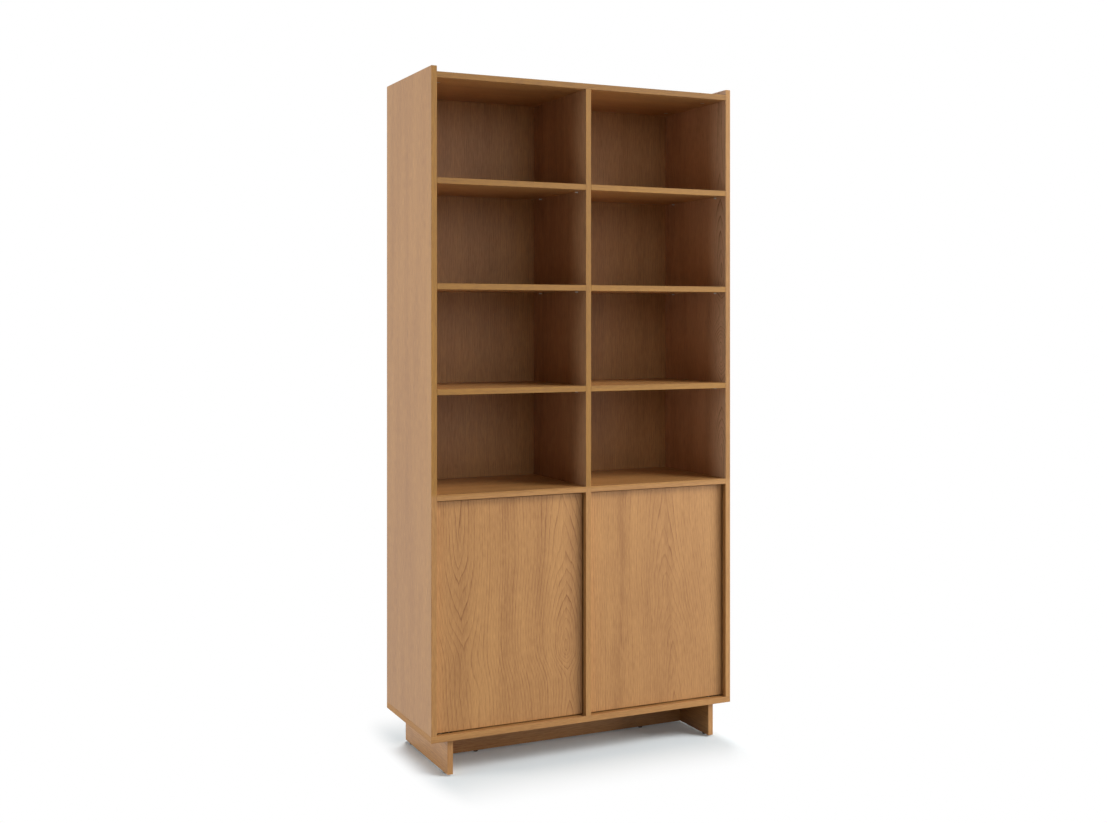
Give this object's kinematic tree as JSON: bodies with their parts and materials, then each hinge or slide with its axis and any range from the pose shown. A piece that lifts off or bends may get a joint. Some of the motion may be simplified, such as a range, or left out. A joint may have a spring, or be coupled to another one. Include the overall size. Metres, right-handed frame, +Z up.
{
  "type": "bookcase with cabinet doors",
  "caption": "Tall oak-veneered bookcase with open shelves each side of a centre divider, push-to-open cupboard doors below, an H-shaped base and sides that rise above the top.",
  "frame": {"origin": "on the floor, under the middle of the bookcase", "axes": "+Z up, +X to the right seen from the front, +Y from the front to the back"},
  "size_m": [1, 0.4, 2.035],
  "materials": {
    "oak_board": "satin oak veneer on board",
    "oak_door": "satin oak veneer on board",
    "oak_back": "satin oak veneer on board",
    "beech": "plain",
    "nickelled_steel": "satin nickel plate",
    "zinc_steel": "zinc plate",
    "brass": "plain",
    "black_plastic": "matt",
    "grey_plastic": "matt"
  },
  "bodies": {
    "carcass": {"base_stretcher": "oak_board", "bottom_panel": "oak_board", "cam_bolts": "nickelled_steel", "cam_locks": "nickelled_steel", "carcass_screws": "nickelled_steel", "centre_divider": "oak_board", "divider_dowels": "beech", "floor_glides": "black_plastic", "left_back_sheet": "oak_back", "left_base_panel": "oak_board", "left_cupboard_shelf": "oak_board", "left_fixed_shelf": "oak_board", "left_latch_housing": "grey_plastic", "left_shelf_1": "oak_board", "left_shelf_2": "oak_board", "left_shelf_3": "oak_board", "left_side_panel": "oak_board", "pivot_plates": "nickelled_steel", "right_back_sheet": "oak_back", "right_base_panel": "oak_board", "right_cupboard_shelf": "oak_board", "right_fixed_shelf": "oak_board", "right_latch_housing": "grey_plastic", "right_shelf_1": "oak_board", "right_shelf_2": "oak_board", "right_shelf_3": "oak_board", "right_side_panel": "oak_board", "shelf_pins": "nickelled_steel", "top_panel": "oak_board", "wall_brackets": "zinc_steel", "wood_screws": "nickelled_steel"},
    "left_door": {"left_door": "oak_door", "left_door_bushes": "brass", "left_strike_plate": "nickelled_steel"},
    "right_door": {"right_door": "oak_door", "right_door_bushes": "brass", "right_strike_plate": "nickelled_steel"},
    "left_plunger": {"left_latch_plunger": "grey_plastic"},
    "right_plunger": {"right_latch_plunger": "grey_plastic"}
  },
  "joints": [
    {"name": "left_door_swing", "type": "hinge", "parent": "carcass", "child": "left_door", "pos_m": [-0.4645, -0.1735, 0.459], "axis": [0, 0, -1], "range_deg": [0, 95]},
    {"name": "right_door_swing", "type": "hinge", "parent": "carcass", "child": "right_door", "pos_m": [0.4645, -0.1735, 0.459], "axis": [0, 0, 1], "range_deg": [0, 95]},
    {"name": "left_plunger_slide", "type": "slide", "parent": "carcass", "child": "left_plunger", "axis": [0, -1, 0], "range_m": [0, 0.038]},
    {"name": "right_plunger_slide", "type": "slide", "parent": "carcass", "child": "right_plunger", "axis": [0, -1, 0], "range_m": [0, 0.038]}
  ],
  "couplings": [
    {"joint": "left_plunger_slide", "follows": "left_door_swing", "m_per_rad": 0.0229},
    {"joint": "right_plunger_slide", "follows": "right_door_swing", "m_per_rad": 0.0229}
  ]
}
